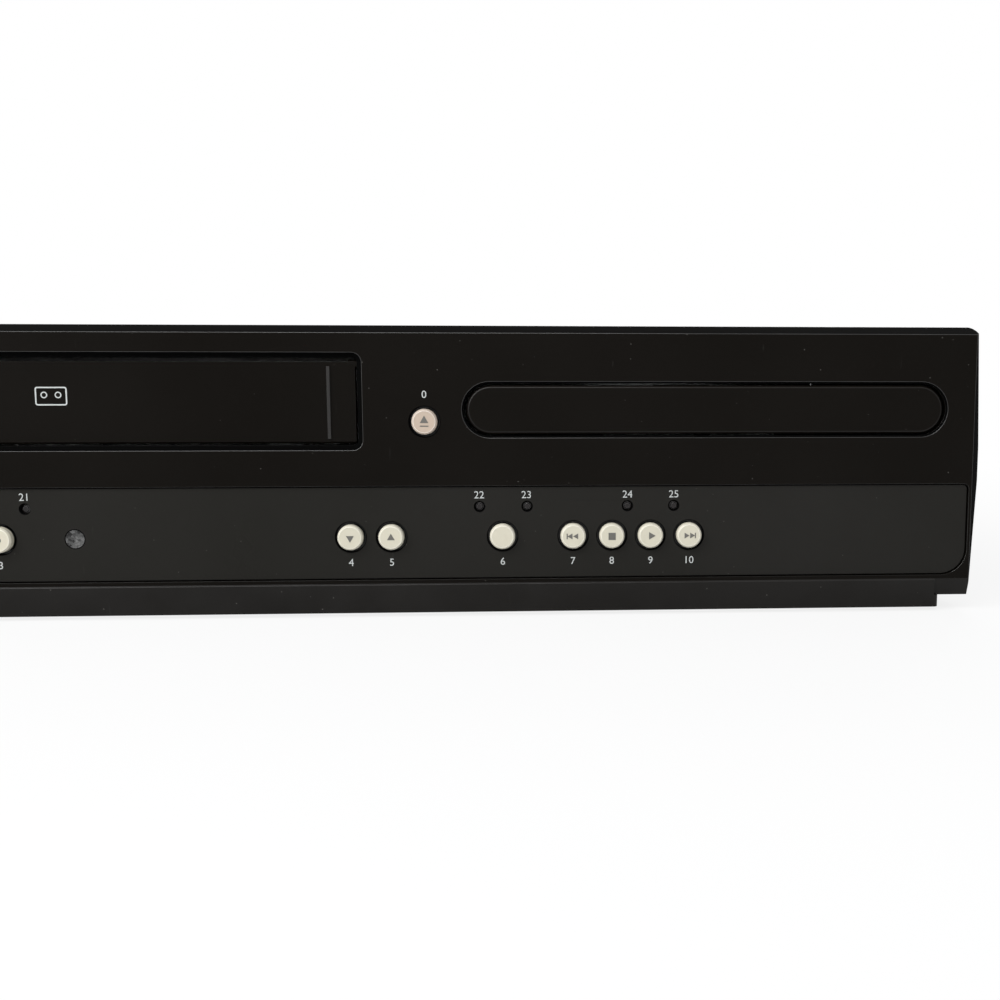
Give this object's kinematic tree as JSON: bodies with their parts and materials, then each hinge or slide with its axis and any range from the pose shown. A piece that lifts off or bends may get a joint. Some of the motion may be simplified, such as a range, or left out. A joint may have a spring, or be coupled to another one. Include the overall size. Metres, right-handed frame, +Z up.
{
  "type": "disc and tape player",
  "caption": "Wide flat player with a spring flap cassette slot and tape deck on the left, a sliding disc tray on the right, and a row of push buttons.",
  "frame": {"origin": "middle of the width and depth of the whole player, on the floor under its feet", "axes": "+X to the right of a viewer in front, front face towards -Y, +Z up"},
  "size_m": [0.435, 0.237, 0.0995],
  "materials": {
    "fascia_plastic": "satin black moulded plastic with a fine texture",
    "panel_plastic": "smooth black plastic insert",
    "inner_plastic": "dark moulded plastic",
    "painted_steel": "black textured paint on sheet steel",
    "zinc_steel": "zinc-plated sheet steel",
    "bright_steel": "bright turned steel",
    "drum_metal": "turned aluminium",
    "bearing_brass": "sintered bearing bronze",
    "roller_rubber": "black rubber",
    "board": "brown laminate circuit board",
    "switch_plastic": "black plastic housings",
    "lamp_plastic": "dark tinted light pipe",
    "window_plastic": "dark grey infrared filter",
    "button_plastic": "ivory plastic",
    "open_button_plastic": "warm beige plastic"
  },
  "bodies": {
    "cabinet": {"bottom_chassis": "zinc_steel", "capacitors": "switch_plastic", "capstan_bearing": "bearing_brass", "case_screws": "bright_steel", "clamp_bridge": "zinc_steel", "control_panel": "panel_plastic", "cord_gland": "fascia_plastic", "deck_chassis": "zinc_steel", "deck_motor": "bright_steel", "feet": "roller_rubber", "front_board": "board", "front_fascia": "fascia_plastic", "front_input_jacks": "switch_plastic", "indicator_lamps": "lamp_plastic", "infrared_window": "window_plastic", "loader_frame": "inner_plastic", "loading_motor": "bright_steel", "lower_drum": "drum_metal", "main_board": "board", "power_board": "board", "power_transformer": "switch_plastic", "rear_panel": "zinc_steel", "rear_sockets": "inner_plastic", "tact_switches": "switch_plastic", "tape_heads": "bright_steel", "top_cover": "painted_steel", "tuner": "zinc_steel"},
    "flap": {"cassette_flap": "fascia_plastic"},
    "tray": {"disc_tray": "inner_plastic", "tray_front": "fascia_plastic"},
    "pinion": {"tray_pinion": "inner_plastic"},
    "loader_pulley": {"motor_pulley": "inner_plastic"},
    "traverse": {"traverse_plate": "zinc_steel", "guide_rods": "bright_steel", "traverse_motors": "bright_steel"},
    "disc_spindle": {"turntable": "inner_plastic"},
    "sled": {"pickup_sled": "switch_plastic"},
    "lead_screw": {"feed_screw": "bright_steel"},
    "clamp_puck": {"disc_clamp": "inner_plastic"},
    "head_drum": {"upper_drum": "drum_metal"},
    "capstan_wheel": {"capstan": "bright_steel"},
    "pinch_lever": {"pinch_arm": "bright_steel"},
    "pinch_wheel": {"pinch_roller": "roller_rubber"},
    "supply_spindle": {"supply_reel": "inner_plastic"},
    "take_up_spindle": {"take_up_reel": "inner_plastic"},
    "slider": {"cassette_slider": "zinc_steel"},
    "carriage": {"cassette_carriage": "zinc_steel"},
    "left_guide": {"left_tape_guide": "bright_steel"},
    "right_guide": {"right_tape_guide": "bright_steel"},
    "cassette_eject_key": {"cassette_eject_button": "button_plastic"},
    "next_key": {"next_button": "button_plastic"},
    "open_close_key": {"open_close_button": "open_button_plastic"},
    "play_key": {"play_button": "button_plastic"},
    "power_key": {"power_button": "button_plastic"},
    "previous_key": {"previous_button": "button_plastic"},
    "record_key": {"record_button": "button_plastic"},
    "source_key": {"source_button": "button_plastic"},
    "stop_key": {"stop_button": "button_plastic"},
    "tracking_down_key": {"tracking_down_button": "button_plastic"},
    "tracking_up_key": {"tracking_up_button": "button_plastic"}
  },
  "joints": [
    {"name": "flap_hinge", "type": "hinge", "parent": "cabinet", "child": "flap", "pos_m": [-0.1003, -0.1136, 0.0865], "axis": [1, 0, 0], "range_deg": [0, 88], "stiffness_Nm_per_rad": 0.002, "springref_deg": -20.05},
    {"name": "tray_slide", "type": "slide", "parent": "cabinet", "child": "tray", "axis": [0, -1, 0], "range_m": [0, 0.138]},
    {"name": "pinion_spin", "type": "hinge", "parent": "cabinet", "child": "pinion", "pos_m": [0.077, -0.08, 0.062], "axis": [0, 0, 1], "range_deg": [0, 881]},
    {"name": "pulley_spin", "type": "hinge", "parent": "cabinet", "child": "loader_pulley", "pos_m": [0.125, -0.077, 0.06], "axis": [0, 0, 1], "range_deg": [0, 2347]},
    {"name": "traverse_tilt", "type": "hinge", "parent": "cabinet", "child": "traverse", "pos_m": [0.1209, 0.064, 0.0605], "axis": [1, 0, 0], "range_deg": [0, 2.8]},
    {"name": "disc_spin", "type": "hinge", "parent": "traverse", "child": "disc_spindle", "pos_m": [0.1209, -0.047, 0.068], "axis": [0, 0, 1], "continuous": true},
    {"name": "sled_slide", "type": "slide", "parent": "traverse", "child": "sled", "axis": [0, 1, 0], "range_m": [0, 0.034]},
    {"name": "screw_spin", "type": "hinge", "parent": "traverse", "child": "lead_screw", "pos_m": [0.0904, 0, 0.0632], "axis": [0, 1, 0], "range_deg": [0, 4084]},
    {"name": "clamp_spin", "type": "hinge", "parent": "cabinet", "child": "clamp_puck", "pos_m": [0.1209, -0.047, 0.075], "axis": [0, 0, 1], "continuous": true},
    {"name": "drum_spin", "type": "hinge", "parent": "cabinet", "child": "head_drum", "pos_m": [-0.1003, 0.062, 0.033], "axis": [-0.0958, 0, 0.9954], "continuous": true},
    {"name": "capstan_spin", "type": "hinge", "parent": "cabinet", "child": "capstan_wheel", "pos_m": [-0.025, 0.034, 0.03], "axis": [0, 0, 1], "continuous": true},
    {"name": "pinch_swing", "type": "hinge", "parent": "cabinet", "child": "pinch_lever", "pos_m": [-0.008, 0.056, 0.042], "axis": [0, 0, 1], "range_deg": [0, 16]},
    {"name": "pinch_spin", "type": "hinge", "parent": "pinch_lever", "child": "pinch_wheel", "pos_m": [-0.02812, 0.04752, 0.05], "axis": [0, 0, 1], "continuous": true},
    {"name": "supply_spin", "type": "hinge", "parent": "cabinet", "child": "supply_spindle", "pos_m": [-0.1416, -0.014, 0.04], "axis": [0, 0, 1], "continuous": true},
    {"name": "take_up_spin", "type": "hinge", "parent": "cabinet", "child": "take_up_spindle", "pos_m": [-0.059, -0.014, 0.04], "axis": [0, 0, 1], "continuous": true},
    {"name": "slider_in", "type": "slide", "parent": "cabinet", "child": "slider", "axis": [0, 1, 0], "range_m": [0, 0.022]},
    {"name": "carriage_down", "type": "slide", "parent": "slider", "child": "carriage", "axis": [0, 0, -1], "range_m": [0, 0.021]},
    {"name": "left_guide_slide", "type": "slide", "parent": "cabinet", "child": "left_guide", "axis": [-0.2425, 0.9701, 0], "range_m": [0, 0.0495]},
    {"name": "right_guide_slide", "type": "slide", "parent": "cabinet", "child": "right_guide", "axis": [0.2425, 0.9701, 0], "range_m": [0, 0.0495]},
    {"name": "cassette_eject_press", "type": "slide", "parent": "cabinet", "child": "cassette_eject_key", "axis": [0, 1, 0], "range_m": [0, 0.0008], "stiffness_N_per_m": 1200, "springref_m": -0.0004},
    {"name": "next_press", "type": "slide", "parent": "cabinet", "child": "next_key", "axis": [0, 1, 0], "range_m": [0, 0.0008], "stiffness_N_per_m": 1200, "springref_m": -0.0004},
    {"name": "open_close_press", "type": "slide", "parent": "cabinet", "child": "open_close_key", "axis": [0, 1, 0], "range_m": [0, 0.0008], "stiffness_N_per_m": 1200, "springref_m": -0.0004},
    {"name": "play_press", "type": "slide", "parent": "cabinet", "child": "play_key", "axis": [0, 1, 0], "range_m": [0, 0.0008], "stiffness_N_per_m": 1200, "springref_m": -0.0004},
    {"name": "power_press", "type": "slide", "parent": "cabinet", "child": "power_key", "axis": [0, 1, 0], "range_m": [0, 0.0008], "stiffness_N_per_m": 1200, "springref_m": -0.0004},
    {"name": "previous_press", "type": "slide", "parent": "cabinet", "child": "previous_key", "axis": [0, 1, 0], "range_m": [0, 0.0008], "stiffness_N_per_m": 1200, "springref_m": -0.0004},
    {"name": "record_press", "type": "slide", "parent": "cabinet", "child": "record_key", "axis": [0, 1, 0], "range_m": [0, 0.0008], "stiffness_N_per_m": 1200, "springref_m": -0.0004},
    {"name": "source_press", "type": "slide", "parent": "cabinet", "child": "source_key", "axis": [0, 1, 0], "range_m": [0, 0.0008], "stiffness_N_per_m": 1200, "springref_m": -0.0004},
    {"name": "stop_press", "type": "slide", "parent": "cabinet", "child": "stop_key", "axis": [0, 1, 0], "range_m": [0, 0.0008], "stiffness_N_per_m": 1200, "springref_m": -0.0004},
    {"name": "tracking_down_press", "type": "slide", "parent": "cabinet", "child": "tracking_down_key", "axis": [0, 1, 0], "range_m": [0, 0.0008], "stiffness_N_per_m": 1200, "springref_m": -0.0004},
    {"name": "tracking_up_press", "type": "slide", "parent": "cabinet", "child": "tracking_up_key", "axis": [0, 1, 0], "range_m": [0, 0.0008], "stiffness_N_per_m": 1200, "springref_m": -0.0004}
  ],
  "couplings": [
    {"joint": "pinion_spin", "follows": "tray_slide", "rad_per_m": 111.11},
    {"joint": "pulley_spin", "follows": "tray_slide", "rad_per_m": 296.3},
    {"joint": "screw_spin", "follows": "sled_slide", "rad_per_m": 2094.4},
    {"joint": "clamp_spin", "follows": "disc_spin", "ratio": 1}
  ]
}
